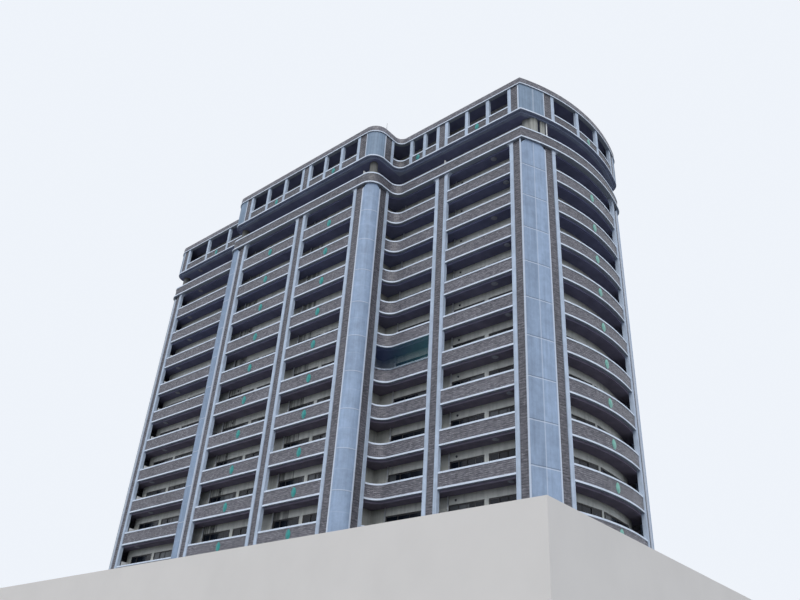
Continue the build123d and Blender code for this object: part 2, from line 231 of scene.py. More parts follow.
def finished(
    material, nodes, colour, roughness, height=None, depth=0.002, specular=0.3, metallic=0.0
):
    sockets = {"Base Color": colour, "Roughness": roughness}
    surface = add(nodes, "ShaderNodeBsdfPrincipled", sockets)
    surface.inputs["Specular IOR Level"].default_value = specular
    surface.inputs["Metallic"].default_value = metallic
    if height is not None:
        bump = add(nodes, "ShaderNodeBump", {"Height": height, "Distance": depth, "Strength": 0.7})
        nodes.links.new(bump.outputs[0], surface.inputs["Normal"])
    output = add(nodes, "ShaderNodeOutputMaterial")
    nodes.links.new(surface.outputs[0], output.inputs[0])
    return material


# Finishes of the CAD nodes
tileLook = {
    "length": 0.1175,  # along the course, half of a real 227 mm tile and its joint
    "course": 0.0325,
    "joint": 0.0046,
    "light": (0.275, 0.265, 0.29, 1),
    "dark": (0.135, 0.13, 0.15, 1),
    "jointColour": (0.04, 0.04, 0.048, 1),
    "trimColour": (0.67, 0.735, 0.83, 1),
    # painted shade on the downward faces of lips and copings
    "underside": (0.12, 0.14, 0.18, 1),
    "seamColour": (0.2, 0.21, 0.23, 1),
    "seamEvery": 0.9,
    "seam": 0.004,
    "lipTop": 0.041,  # these three heights are over the floor of the storey
    "lipBottom": 1.3,
    "copingTop": 0.6,
}


def trimPaint(nodes, position, facing, along):
    # Pale paint with seams, soiled a little, and painted shade on its underside
    patches = stretched(nodes, position, (3, 3, 9))
    soiled = varied(nodes, patches, scale=1.0, spread=(0.3, 0.75), tones=(1.06, 0.86))
    paint = toned(nodes, tileLook["trimColour"], soiled)
    # Painted shade: downward faces take the dark underside colour
    paint = painted(nodes, paint, isUnder(nodes, facing["Z"], -0.5), 0.7, tileLook["underside"])
    seams = calc(nodes, "PINGPONG", along, tileLook["seamEvery"])
    seams = isUnder(nodes, seams, tileLook["seam"])
    return painted(nodes, paint, seams, 0.5, tileLook["seamColour"])


def tileFinish(name, trimAbove=None, trimBelow=None, rows=False, shade=1.0, every=2):
    # Glazed tiles in running bond; lips and copings of the same node are painted pale
    material, nodes = tree(name)
    position = objectPlace(nodes)
    parts, facing = split(nodes, position), faceNormal(nodes)
    along = alongFacade(nodes, parts, facing)
    bricks = add(
        nodes,
        "ShaderNodeTexBrick",
        {
            "Vector": add(nodes, "ShaderNodeCombineXYZ", {0: along, 1: parts["Z"]}).outputs[0],
            "Color1": tileLook["light"],
            "Color2": tileLook["dark"],
            "Mortar": tileLook["jointColour"],
            "Scale": 1.0,
            "Mortar Size": tileLook["joint"],
            "Mortar Smooth": 0.2,
            "Brick Width": tileLook["length"],
            "Row Height": tileLook["course"],
        },
        offset=0.5,
    )
    # shade scales this copy of the tiles: below 1 it is painted shade, on the cornice, piers,
    # gable, crown strips and crown parapets; the roof band's copy is paler
    tones = (0.88 * shade, 1.1 * shade)
    patches = varied(nodes, position, scale=0.7, spread=(0.3, 0.7), tones=tones)
    upright = stretched(nodes, position, (6, 6, 0.5))
    streaks = varied(nodes, upright, scale=1.0, spread=(0.35, 0.75), tones=(1.04, 0.9))
    level = stretched(nodes, position, (7, 7, 14))
    speckle = varied(nodes, level, scale=1.0, spread=(0.3, 0.7), tones=(0.8, 1.2), detail=2.0)
    course = calc(nodes, "DIVIDE", parts["Z"], tileLook["course"] * every)
    darker = isUnder(nodes, calc(nodes, "FRACT", course), 1 / every)
    uneven = times(nodes, speckle, remap(nodes, darker, 0.0, 1.0, 1.1, 0.8))
    tone = times(nodes, uneven, times(nodes, patches, streaks))
    colour = toned(nodes, bricks.outputs["Color"], tone)
    height = calc(nodes, "SUBTRACT", 1.0, bricks.outputs["Fac"])
    roughness = mixValue(nodes, bricks.outputs["Fac"], 0.38, 0.85)

    trim = None
    if rows:
        above = aboveFloor(nodes, parts)
        lipTop = isUnder(nodes, above, tileLook["lipTop"])
        lip = either(nodes, lipTop, isOver(nodes, above, tileLook["lipBottom"]))
        copingBottom = building["railing"] - building["trim"] - 0.001
        trim = either(nodes, lip, inside(nodes, above, copingBottom, tileLook["copingTop"]))
    if trimAbove is not None:
        trim = isOver(nodes, parts["Z"], trimAbove)
    if trimBelow is not None:
        trim = isUnder(nodes, parts["Z"], trimBelow)
    if trim is not None:
        colour = blend(nodes, trim, colour, trimPaint(nodes, position, facing, along))
        height = either(nodes, height, trim)
        roughness = mixValue(nodes, trim, roughness, 0.62)
    return finished(material, nodes, colour, roughness, height, depth=0.0015, specular=0.35)


paintLook = {
    "post": (0.45, 0.525, 0.63, 1),
    "column": (0.29, 0.373, 0.505, 1),
    "head": (0.215, 0.285, 0.375, 1),
    "shaded": (0.22, 0.26, 0.29, 1),
    # A darker copy of the column paint, as painted shade on the step column
    "step": (0.25, 0.325, 0.44, 1),
    "pale": (0.58, 0.64, 0.73, 1),
    "roughness": 0.58,
    "specular": 0.25,
    "haunch": (14.41, 14.6),
    "jointDeep": 3.0,  # against the grain of the paint
}


def paintedBase(nodes, position, paint):
    # Cloudy paint with faint runs of dirt down it, and its fine grain
    cloudy = varied(
        nodes, position, scale=2.6, spread=(0.3, 0.7), tones=(0.86, 1.14), detail=6.0, roughness=0.7
    )
    upright = stretched(nodes, position, (11, 11, 0.6))
    runs = varied(nodes, upright, scale=1.0, spread=(0.35, 0.75), tones=(1.06, 0.86), detail=4.0)
    colour = toned(nodes, paintLook[paint], times(nodes, cloudy, runs))
    return colour, noise(nodes, position, scale=60.0, detail=4.0)


def paintedSurface(material, nodes, colour, height, depth=0.002):
    roughness, specular = paintLook["roughness"], paintLook["specular"]
    return finished(material, nodes, colour, roughness, height, depth, specular)


def cutIn(nodes, grain, joints):
    return calc(nodes, "SUBTRACT", grain, times(nodes, joints, paintLook["jointDeep"]))


def postFinish(name):
    # Painted posts, pale at their haunches
    material, nodes = tree(name)
    position = objectPlace(nodes)
    colour, grain = paintedBase(nodes, position, "post")
    haunch = inside(nodes, split(nodes, position)["Z"], *paintLook["haunch"])
    colour = painted(nodes, colour, haunch, 0.8, paintLook["pale"])
    return paintedSurface(material, nodes, colour, grain)


columnLook = {
    "panel": 1.45,  # a storey tall, with a faint joint half way
    "firstJoint": 0.12,
    "lap": 0.03,
    "joint": 0.014,
    "jointColour": (0.16, 0.19, 0.24, 1),
}

# Pale borders of the columns: on which side of which line each lies
columnBorders = {
    "left_column": (("X", isOver, -10.677), ("Y", isOver, -2.577)),
    "step_column": (("X", isOver, -4.247), ("Y", isOver, -3.552)),
    "return_column": (("X", isUnder, 3.802), ("Y", isOver, -3.552)),
    "rear_columns": (("Y", isUnder, 3.43),),
}


def columnFinish(name, borders, paint="column"):
    # Panels a storey tall, each with a pale lap under a dark joint, the lap a painted highlight on
    # the joint's lip; pale borders
    material, nodes = tree(name)
    position = objectPlace(nodes)
    parts = split(nodes, position)
    colour, grain = paintedBase(nodes, position, paint)
    step, lap = columnLook["panel"], columnLook["lap"]
    panel = counted(nodes, parts["Z"], columnLook["firstJoint"], step)
    level = intoStep(nodes, panel, step)
    tone = chance(nodes, calc(nodes, "FLOOR", panel))
    colour = toned(nodes, colour, remap(nodes, tone, 0.0, 1.0, 0.95, 1.05))
    # Painted highlight: pale laps at each joint, and a faint one half way
    whole = times(nodes, inside(nodes, level, 0.0, lap), 0.6)
    half = times(nodes, inside(nodes, level, step / 2, step / 2 + lap), 0.12)
    colour = blend(nodes, either(nodes, whole, half), colour, paintLook["pale"])
    joint = isOver(nodes, level, step - columnLook["joint"])
    colour = painted(nodes, colour, joint, 0.55, columnLook["jointColour"])
    for axis, side, edge in borders:
        colour = blend(nodes, side(nodes, parts[axis], edge), colour, paintLook["pale"])
    return paintedSurface(material, nodes, colour, cutIn(nodes, grain, joint))


# The pilaster on the sharp corner: its upright lines are angles round the bow's centre
pilasterLook = {
    "middle": -25.9,
    "uprightHalf": 0.13,
    "rightBorder": -22.54,
    "leftBorderX": 10.5,
    "firstJoint": 0.27,
    "joint": 0.034,
    "lap": 0.03,
    "jointColour": (0.14, 0.18, 0.24, 1),
    "seed": 31.7,
}


def pilasterFinish(name):
    # Two columns of panels either side of a pale upright, with joints once a storey; the left
    # column of panels is darker as painted shade
    material, nodes = tree(name)
    position = objectPlace(nodes)
    parts = split(nodes, position)
    colour, grain = paintedBase(nodes, position, "column")
    east, north = fromBowCentre(nodes, parts)
    angle = times(nodes, calc(nodes, "ARCTAN2", north, east), 180 / math.pi)
    middle, half = pilasterLook["middle"], pilasterLook["uprightHalf"]
    leftHalf = isUnder(nodes, angle, middle)
    step = building["storeyHeight"]
    panel = counted(nodes, parts["Z"], pilasterLook["firstJoint"], step)
    level = intoStep(nodes, panel, step)
    seed = times(nodes, leftHalf, pilasterLook["seed"])
    tone = chance(nodes, calc(nodes, "ADD", calc(nodes, "FLOOR", panel), seed))
    tone = remap(nodes, tone, 0.0, 1.0, 0.96, 1.06)
    # Painted shade: the left half of the pilaster is darker
    tone = calc(nodes, "SUBTRACT", tone, times(nodes, leftHalf, 0.09))
    colour = toned(nodes, colour, tone)
    # Painted highlight: a pale line on the lip under each dark joint
    lap = isOver(nodes, level, step - pilasterLook["lap"])
    colour = painted(nodes, colour, lap, 0.7, paintLook["pale"])
    joint = isUnder(nodes, level, pilasterLook["joint"])
    colour = painted(nodes, colour, joint, 0.6, pilasterLook["jointColour"])
    upright = times(nodes, inside(nodes, angle, middle - half, middle + half), 0.5)
    rightBorder = isOver(nodes, angle, pilasterLook["rightBorder"])
    leftBorder = isUnder(nodes, parts["X"], pilasterLook["leftBorderX"])
    border = either(nodes, upright, either(nodes, rightBorder, leftBorder))
    colour = painted(nodes, colour, border, 0.85, paintLook["pale"])
    return paintedSurface(material, nodes, colour, cutIn(nodes, grain, joint))


# Heads over the columns: places and strengths of their pale borders, and their ribs
crownHead = {
    "borderHalf": 0.035,
    "borders": (
        (-11.2, -2.525, 1), (-10.625, -3.1, 1), (-5.1, -3.525, 1), (-4.195, -4.1, 1),
        (3.75, -4.1, 1), (4.35, -3.525, 1), (10.45, -2.585, 1), (10.828, -2.071, 0.3),
        (11.035, -1.58, 1), (-11.2, 3.5, 1), (-10.625, 4.1, 1), (10.86, 4.1, 1), (11.49, 3.4, 1),
    ),
    "ribEvery": 0.05,
    "rib": 0.012,
}


def crownHeadFinish(name):
    # Fine upright ribs between pale borders
    material, nodes = tree(name)
    position = objectPlace(nodes)
    parts = split(nodes, position)
    colour = paintedBase(nodes, position, "head")[0]
    along = alongFacade(nodes, parts, faceNormal(nodes))
    ribs = calc(nodes, "PINGPONG", along, crownHead["ribEvery"])
    ribs = remap(nodes, ribs, 0.0, crownHead["rib"], 0.0, 1.0)
    colour = toned(nodes, colour, remap(nodes, ribs, 0.0, 1.0, 0.86, 1.0))
    border = None
    half = crownHead["borderHalf"]
    for x, y, strength in crownHead["borders"]:
        beside = inside(nodes, parts["X"], x - half, x + half)
        level = inside(nodes, parts["Y"], y - half, y + half)
        line = times(nodes, times(nodes, beside, level), strength)
        border = line if border is None else either(nodes, border, line)
    colour = blend(nodes, border, colour, paintLook["pale"])
    return paintedSurface(material, nodes, colour, ribs, depth=0.004)


# The crown's underside: each row runs from and to on X, with its edge on Y
crownEdge = {
    "rows": ((-11.3, -5.0, -3.125), (-5.0, 4.2, -4.1), (4.2, 10.6, -2.585)),
    "rearEdge": 4.1,
    "bowFromX": 10.0,
    "strip": 0.26,
}


def edgeStrip(nodes, parts):
    # The strip of the underside that follows the crown's outline
    deep = crownEdge["strip"]
    strip = isOver(nodes, parts["Y"], crownEdge["rearEdge"] - deep)
    for start, end, edge in crownEdge["rows"]:
        along = inside(nodes, parts["X"], start, end)
        row = times(nodes, along, isUnder(nodes, parts["Y"], edge + deep))
        strip = either(nodes, strip, row)
    east, north = fromBowCentre(nodes, parts)
    square = calc(nodes, "ADD", times(nodes, east, east), times(nodes, north, north))
    outer = building["bowRadius"] + building["crownProud"] - deep
    bow = isOver(nodes, calc(nodes, "SQRT", square), outer)
    bow = times(nodes, bow, isOver(nodes, parts["X"], crownEdge["bowFromX"]))
    return either(nodes, strip, bow)


slabLook = {
    # The ceiling colours are dark as painted shade under the slabs
    "ceiling": (0.165, 0.172, 0.28, 1),
    "lowCeiling": (0.2, 0.17, 0.21, 1),  # of the lower storeys
    "lowFade": (5.5, 11.5),  # heights between which it gives way to the other
    "beam": (0.24, 0.27, 0.37, 1),
    "floor": (0.24, 0.25, 0.25, 1),
    "deck": (0.33, 0.34, 0.34, 1),
    "crownLip": (16.028, 16.092),
}


def slabFinish(name, top, lip=None):
    # Ceiling paint below, darkened as painted shade, and a coated floor above; the crown's lip is
    # pale
    material, nodes = tree(name)
    position = objectPlace(nodes)
    parts, facing = split(nodes, position), faceNormal(nodes)
    low = remap(nodes, parts["Z"], *slabLook["lowFade"], 0.85, 0.0)
    ceiling = blend(nodes, low, slabLook["ceiling"], slabLook["lowCeiling"])
    colour = blend(nodes, isOver(nodes, facing["Z"], 0.5), ceiling, top)
    if lip is not None:
        upright = isUnder(nodes, calc(nodes, "ABSOLUTE", facing["Z"]), 0.5)
        under = isUnder(nodes, facing["Z"], -0.5)
        strip = times(nodes, under, edgeStrip(nodes, parts))
        colour = blend(nodes, either(nodes, upright, strip), colour, slabLook["beam"])
        level = inside(nodes, parts["Z"], *lip)
        colour = painted(nodes, colour, level, upright, tileLook["trimColour"])
    mottled = varied(nodes, position, scale=2.2, spread=(0.3, 0.7), tones=(0.85, 1.12), detail=6.0)
    colour = toned(nodes, colour, mottled)
    grain = noise(nodes, position, scale=45.0, detail=5.0)
    return finished(material, nodes, colour, 0.85, grain, depth=0.003, specular=0.08)


wallLook = {
    "cream": (0.72, 0.71, 0.64, 1),
    # A darker copy of the cream, as painted shade on the recess columns
    "shadedCream": (0.19, 0.185, 0.17, 1),
    # A darker copy of the cream, as painted shade on the corner casing
    "shadedCasingCream": (0.36, 0.36, 0.33, 1),
    "shadedFrom": 1.1,  # heights over the floor between which the wall darkens
    "shadedTo": 1.35,
    "streakedEnds": ((-3.83, -2.95), (0.22, 1.1)),  # from and to on X, in the two middle bays
    "streakedBeforeY": -2.5,
}


def wallFinish(name, cream, fineness=7, grime=0.72):
    # Cream render with faint runs, which darkens under each ceiling
    material, nodes = tree(name)
    position = objectPlace(nodes)
    parts = split(nodes, position)
    mottled = varied(nodes, position, scale=1.4, spread=(0.3, 0.7), tones=(0.9, 1.06), detail=5.0)
    upright = stretched(nodes, position, (fineness, fineness, 0.8))
    runs = varied(nodes, upright, scale=1.0, spread=(0.45, 0.8), tones=(1.0, grime), detail=4.0)
    above = aboveFloor(nodes, parts)
    shaded = remap(nodes, above, wallLook["shadedFrom"], wallLook["shadedTo"], 1.0, 0.62)
    tone = times(nodes, times(nodes, mottled, runs), shaded)
    upright = stretched(nodes, position, (9, 9, 0.3))
    streaks = varied(nodes, upright, scale=1.0, spread=(0.4, 0.62), tones=(0.3, 0.9))
    # Darker upright streaks on the wall at the left ends of the two middle bays
    ends = [inside(nodes, parts["X"], *span) for span in wallLook["streakedEnds"]]
    front = isUnder(nodes, parts["Y"], wallLook["streakedBeforeY"])
    streaked = times(nodes, either(nodes, *ends), front)
    tone = times(nodes, tone, mixValue(nodes, streaked, 1.0, streaks))
    grain = noise(nodes, position, scale=80.0, detail=4.0)
    colour = toned(nodes, cream, tone)
    return finished(material, nodes, colour, 0.85, grain, depth=0.002, specular=0.1)


def metalFinish(name, colour, roughness, metallic=0.0):
    material, nodes = tree(name)
    position = objectPlace(nodes)
    worn = varied(nodes, position, scale=30.0, spread=(0.35, 0.7), tones=(0.9, 1.08), detail=4.0)
    grain = noise(nodes, position, scale=200.0)
    body = toned(nodes, colour, worn)
    depth, specular = 0.0004, 0.4
    return finished(material, nodes, body, roughness, grain, depth, specular, metallic)


postPaint = postFinish("postPaint")
corniceTiles = tileFinish("corniceTiles", rows=True, shade=0.85)
pierTiles = tileFinish("pierTiles", shade=0.78, every=3)
creamWall = wallFinish("creamWall", wallLook["cream"])
cadFinish = {
    "ground_slab": slabFinish("groundSlab", slabLook["floor"]),
    "crown_slab": slabFinish("crownSlab", slabLook["floor"], slabLook["crownLip"]),
    "roof_slab": slabFinish("roofDeck", slabLook["deck"]),
    "cornice_corners": corniceTiles,
    "cornice_lengths": corniceTiles,
    "roof_band": tileFinish("roofTiles", trimBelow=17.431, shade=1.12),
    "tiled_piers": pierTiles,
    "gable_wall": pierTiles,
    "crown_strips": pierTiles,
    "crown_parapets": tileFinish("crownTiles", trimAbove=16.414, shade=0.72),
    "front_posts": postPaint,
    "rear_posts": postPaint,
    "crown_posts": postPaint,
    "crown_column_heads": crownHeadFinish("ribbedHeads"),
    "left_column": columnFinish("leftColumn", columnBorders["left_column"], "shaded"),
    "step_column": columnFinish("stepColumn", columnBorders["step_column"], "step"),
    "return_column": columnFinish("returnColumn", columnBorders["return_column"]),
    "rear_columns": columnFinish("rearColumns", columnBorders["rear_columns"]),
    "corner_pilaster": pilasterFinish("pilasterPanels"),
    "front_flat_walls": creamWall,
    "side_flat_walls": creamWall,
    "bow_flat_walls": creamWall,
    "rear_flat_walls": creamWall,
    # Painted shade: the recess columns take a darkened cream
    "recess_columns": wallFinish("shadedCream", wallLook["shadedCream"], fineness=12, grime=0.5),
    "lightning_rod": metalFinish("rodMetal", (0.3, 0.31, 0.33, 1), 0.4, metallic=0.8),
}
parapetTiles = tileFinish("parapetTiles", rows=True)
balconySlab = slabFinish("balconySlab", slabLook["floor"])
for row in range(1, building["parapetRows"] + 1):
    cadFinish[f"parapets_{row:02d}"] = parapetTiles
    cadFinish[f"floor_slab_{row + 1:02d}"] = balconySlab
for name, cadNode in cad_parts.items():
    finish = cadFinish[name]
    if not cadNode.material_slots:
        cadNode.data.materials.append(finish)
    for place in cadNode.material_slots:
        place.material = finish
print("CAD nodes finished")


# Shapes of the added pieces
def newShape():
    return {"verts": [], "faces": []}


def addBlock(shape, place, u, v, z):
    # A box in a place's own directions: u along the facade, v outwards, z up
    point, along, out = place
    first = len(shape["verts"])
    for height in z:
        for across, depth in ((u[0], v[0]), (u[1], v[0]), (u[1], v[1]), (u[0], v[1])):
            corner = point + along * across + out * depth
            shape["verts"].append((corner.x, corner.y, height))
    quads = ((3, 2, 1, 0), (4, 5, 6, 7), (0, 1, 5, 4), (1, 2, 6, 5), (2, 3, 7, 6), (3, 0, 4, 7))
    shape["faces"] += [tuple(first + i for i in quad) for quad in quads]


def addRings(shape, first, rings, sides, closed=False):
    # Faces between rings of corners and over the last ring, and under the first if closed
    for ring in range(rings - 1):
        for i in range(sides):
            low = first + ring * sides
            after = (i + 1) % sides
            high = low + sides
            shape["faces"].append((low + i, low + after, high + after, high + i))
    if closed:
        shape["faces"].append(tuple(first + i for i in reversed(range(sides))))
    last = first + (rings - 1) * sides
    shape["faces"].append(tuple(last + i for i in range(sides)))


def addTurned(shape, centre, axis, across, profile, sides=20):
    # A turned form: rings of the profile's (radius, distance along the axis)
    first = len(shape["verts"])
    other = axis.cross(across)
    for radius, distance in profile:
        for i in range(sides):
            turn = 2 * math.pi * i / sides
            reach = across * math.cos(turn) + other * math.sin(turn)
            shape["verts"].append(tuple(centre + axis * distance + reach * radius))
    addRings(shape, first, len(profile), sides, closed=True)


def widened(radius, profile):
    return [(radius * share, distance) for share, distance in profile]


def makeObject(name, shape, finish):
    mesh = bpy.data.meshes.new(name)
    mesh.from_pydata(shape["verts"], [], shape["faces"])
    mesh.validate()
    mesh.update()
    mesh.materials.append(finish)
    made = bpy.data.objects.new(name, mesh)
    bpy.context.scene.collection.objects.link(made)
    return made


def makePiece(name, shape, finish, smooth=False):
    piece = makeObject(name, shape, finish)
    if smooth:
        sides = piece.data.polygons
        sides.foreach_set("use_smooth", [len(face.vertices) < 5 for face in sides])
    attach(piece, "root")
    return piece


# Sliding windows in the doorways of the flats
window = {
    "frame": 0.028,
    "frameDepth": 0.056,
    "sill": 0.02,
    "sashBar": 0.02,
    "sashDepth": 0.018,
    "bottomRail": 0.034,
    "slide": 0.011,
    "glass": 0.004,
    "wideFrom": 1.1,  # wider windows have four sashes, the others two
}


def addWindow(bars, panes, place, width, floor):
    half, edge, bar = width / 2, window["frame"], window["sashBar"]
    top = floor + building["doorHeight"]
    low, high = floor + window["sill"], top - edge
    depth = (-window["frameDepth"] / 2, window["frameDepth"] / 2)
    addBlock(bars, place, (-half, -half + edge), depth, (floor, top))
    addBlock(bars, place, (half - edge, half), depth, (floor, top))
    addBlock(bars, place, (-half + edge, half - edge), depth, (high, top))
    addBlock(bars, place, (-half + edge, half - edge), depth, (floor, low))
    sashes = 4 if width > window["wideFrom"] else 2
    clear = width - 2 * edge
    for i in range(sashes):
        left = -half + edge + clear * i / sashes - (bar / 2 if i else 0)
        right = -half + edge + clear * (i + 1) / sashes + (bar / 2 if i < sashes - 1 else 0)
        middle = window["slide"] if i in (0, sashes - 1) else -window["slide"]
        depth = (middle - window["sashDepth"] / 2, middle + window["sashDepth"] / 2)
        rail = low + window["bottomRail"]
        addBlock(bars, place, (left, left + bar), depth, (low, high))
        addBlock(bars, place, (right - bar, right), depth, (low, high))
        addBlock(bars, place, (left + bar, right - bar), depth, (high - bar, high))
        addBlock(bars, place, (left + bar, right - bar), depth, (low, rail))
        pane = (middle - window["glass"] / 2, middle + window["glass"] / 2)
        addBlock(panes, place, (left + bar, right - bar), pane, (rail, high - bar))


glassLook = {
    "colour": (0.008, 0.011, 0.018, 1),
    "curtain": (0.11, 0.115, 0.12, 1),
    "curtainWidth": 0.78,
    "curtainAbove": 0.72,  # of a random value between 0 and 1
    "folds": 190.0,
}


def glassFinish(name):
    # Dark glass; here and there a drawn curtain pales the pane
    material, nodes = tree(name)
    parts = split(nodes, objectPlace(nodes))
    along = alongFacade(nodes, parts, faceNormal(nodes))
    cell = calc(nodes, "DIVIDE", along, glassLook["curtainWidth"])
    storey = calc(nodes, "DIVIDE", parts["Z"], building["storeyHeight"])
    seed = {0: calc(nodes, "FLOOR", cell), 1: calc(nodes, "FLOOR", storey)}
    seed = add(nodes, "ShaderNodeCombineXYZ", seed).outputs[0]
    drawn = add(nodes, "ShaderNodeTexWhiteNoise", {"Vector": seed}, noise_dimensions="3D")
    drawn = isOver(nodes, drawn.outputs["Value"], glassLook["curtainAbove"])
    folds = calc(nodes, "SINE", times(nodes, along, glassLook["folds"]))
    curtain = toned(nodes, glassLook["curtain"], remap(nodes, folds, -1.0, 1.0, 0.75, 1.1))
    colour = blend(nodes, drawn, glassLook["colour"], curtain)
    return finished(material, nodes, colour, 0.12, specular=0.3)


windowShapes = {group: (newShape(), newShape()) for group in ("front", "bow", "rear")}
for bay in bays.values():
    inset = building["wallInset"] + building["wallThickness"] / 2
    length = bayLength(bay, inset)
    count = round(length / building["doorSpacing"])
    group = "bow" if "angles" in bay else "front" if bay["front"] else "rear"
    barShape, paneShape = windowShapes[group]
    for i in range(count):
        place = spot(bay, (i + 0.5) / count, inset)
        for storey in range(1, building["storeys"] + 1):
            width = length / count - building["doorGap"]
            addWindow(barShape, paneShape, place, width, floorLevel(storey))
bronze = metalFinish("windowBronze", (0.075, 0.07, 0.068, 1), 0.45)
glass = glassFinish("windowGlass")
for group, (barShape, paneShape) in windowShapes.items():
    makePiece(f"{group}WindowFrames", barShape, bronze)
    makePiece(f"{group}WindowPanes", paneShape, glass)
print("windows made")

# Ceiling lights, one on each storey of four bays; its share of the bay's length changes
# between even and odd storeys
lamp = {
    "radius": 0.12,
    "inset": 0.28,
    "rim": ((1.0, 0.0), (1.0, 0.012), (0.93, 0.016)),
    "shade": ((0.9, 0.014), (0.88, 0.018), (0.72, 0.0255), (0.4, 0.03), (0.08, 0.0306)),
    "shares": {
        "leftWing": (0.26, 0.17),
        "rightWing": (0.68, 0.86),
        "rearOne": (0.68, 0.86),
        "rearFour": (0.68, 0.86),
    },
}
shades, rims = newShape(), newShape()
down = Vector((0, 0, -1))
for name, shares in lamp["shares"].items():
    for storey in range(1, building["recessStorey"] + (name == "leftWing")):
        point, along, out = spot(bays[name], shares[storey % 2], lamp["inset"])
        centre = Vector((point.x, point.y, floorLevel(storey + 1) - building["slab"]))
        addTurned(rims, centre, down, along, widened(lamp["radius"], lamp["rim"]))
        addTurned(shades, centre, down, along, widened(lamp["radius"], lamp["shade"]))
makePiece("ceilingLightRims", rims, metalFinish("lampRim", (0.2, 0.2, 0.21, 1), 0.5), smooth=True)
lampShade = metalFinish("lampShade", (0.3, 0.31, 0.37, 1), 0.45)
makePiece("ceilingLightShades", shades, lampShade, smooth=True)

# Hooded vents high on the walls
vent = {
    "radius": 0.034,
    "height": 1.2,
    "profile": ((1.25, 0.0), (1.25, 0.006), (1.0, 0.01), (1.0, 0.0245), (0.8, 0.035)),
    "shares": {"rightWing": 0.12, "middleLeft": 0.19, "rearTwo": 0.19, "rearFour": 0.12},
}
hoods = newShape()
for name, share in vent["shares"].items():
    point, along, out = spot(bays[name], share, building["wallInset"])
    for storey in range(1, building["recessStorey"] + 1):
        centre = Vector((point.x, point.y, floorLevel(storey) + vent["height"]))
        profile = widened(vent["radius"], vent["profile"])
        addTurned(hoods, centre, out, along, profile, sides=16)
ventMetal = metalFinish("ventMetal", (0.05, 0.05, 0.055, 1), 0.5)
makePiece("ventHoods", hoods, ventMetal, smooth=True)
print("lights and vents made")

# Upright glazed ornaments on the parapets, plain pointed ovals with a raised rib
ornament = {
    "halfWidth": 0.115,
    "halfHeight": 0.18,
    "steps": 16,
    "point": 1.35,  # higher is more pointed
    "loops": ((1.0, 0.0), (1.0, 0.012), (0.78, 0.012), (0.7, 0.018), (0.3, 0.028)),
    "inset": 0.016,
    "height": 0.265,
    "shares": {
        "middleLeft": 0.546,
        "middleRight": 0.54,
        "bow": 0.512,
        "rearTwo": 0.5,
        "rearThree": 0.5,
    },
    "crownLevel": 16.255,
    "crownScale": 0.85,
    "crownShares": {
        "leftWing": 0.5,
        "middleLeft": 0.53,
        "middleRight": 0.52,
        "hollow": 0.52,
        "rightWing": 0.5,
        "bow": 0.5,
        "rearTwo": 0.5,
        "rearThree": 0.5,
    },
}


def addOrnament(shape, place, level, scale=1.0):
    # Each loop has a size and how far it stands out: the rim, the face and the raised rib
    point, along, out = place
    steps, loops = ornament["steps"], ornament["loops"]
    wide, tall = ornament["halfWidth"] * scale, ornament["halfHeight"] * scale
    first = len(shape["verts"])
    for size, lift in loops:
        for i in range(steps * 2):
            turn = math.pi * i / steps
            side = math.sin(turn)
            across = wide * size * math.copysign(abs(side) ** ornament["point"], side)
            corner = point + along * across + out * lift
            up = tall * size * math.cos(turn)
            shape["verts"].append((corner.x, corner.y, level + up))
    addRings(shape, first, len(loops), steps * 2)


def ornamentFinish(name, deep, bright):
    material, nodes = tree(name)
    position = objectPlace(nodes)
    pooled = varied(nodes, position, scale=9.0, spread=(0.3, 0.7), tones=(0.0, 1.0), detail=4.0)
    colour = blend(nodes, pooled, deep, bright)
    grain = noise(nodes, position, scale=90.0)
    return finished(material, nodes, colour, 0.3, grain, depth=0.0006, specular=0.5)


ovals, bowOvals = newShape(), newShape()
for name, share in ornament["shares"].items():
    place = spot(bays[name], share, ornament["inset"])
    for storey in range(1, building["parapetRows"] + 1):
        level = floorLevel(storey) + ornament["height"]
        addOrnament(bowOvals if name == "bow" else ovals, place, level)
for name, share in ornament["crownShares"].items():
    place = spot(bays[name], share, ornament["inset"] - building["crownProud"])
    shape = bowOvals if name == "bow" else ovals
    addOrnament(shape, place, ornament["crownLevel"], ornament["crownScale"])
tealGlaze = ornamentFinish("tealGlaze", (0.005, 0.17, 0.18, 1), (0.02, 0.32, 0.28, 1))
makePiece("parapetOrnaments", ovals, tealGlaze)
mintGlaze = ornamentFinish("mintGlaze", (0.1, 0.32, 0.27, 1), (0.22, 0.5, 0.41, 1))
makePiece("bowOrnaments", bowOvals, mintGlaze)
print("ornaments made")

# Light boards between flats, which just show over the copings, each with two uprights
boards = {
    "thick": 0.012,
    "back": -0.58,
    "lift": 0.04,
    "uprightHalf": 0.012,
    "uprightPast": 0.006,
    "uprightInsets": (0.01, -0.02),
    "leftWingX": -10.13,
    "front": -0.15,
    "height": 0.78,
    "recessPlaces": ((3.525, -4.0), (6.71, -2.485)),
    "recessFront": -0.13,
    "recessHeight": 0.95,
}


def addBoard(shape, place, front, low, high):
    back, thick, past = boards["back"], boards["thick"], boards["uprightPast"]
    addBlock(shape, place, (0, thick), (back, front), (low + boards["lift"], high))
    for end, inset in zip((back, front), boards["uprightInsets"]):
        sides = (end + inset - boards["uprightHalf"], end + inset + boards["uprightHalf"])
        addBlock(shape, place, (-past, thick + past), sides, (low, high))


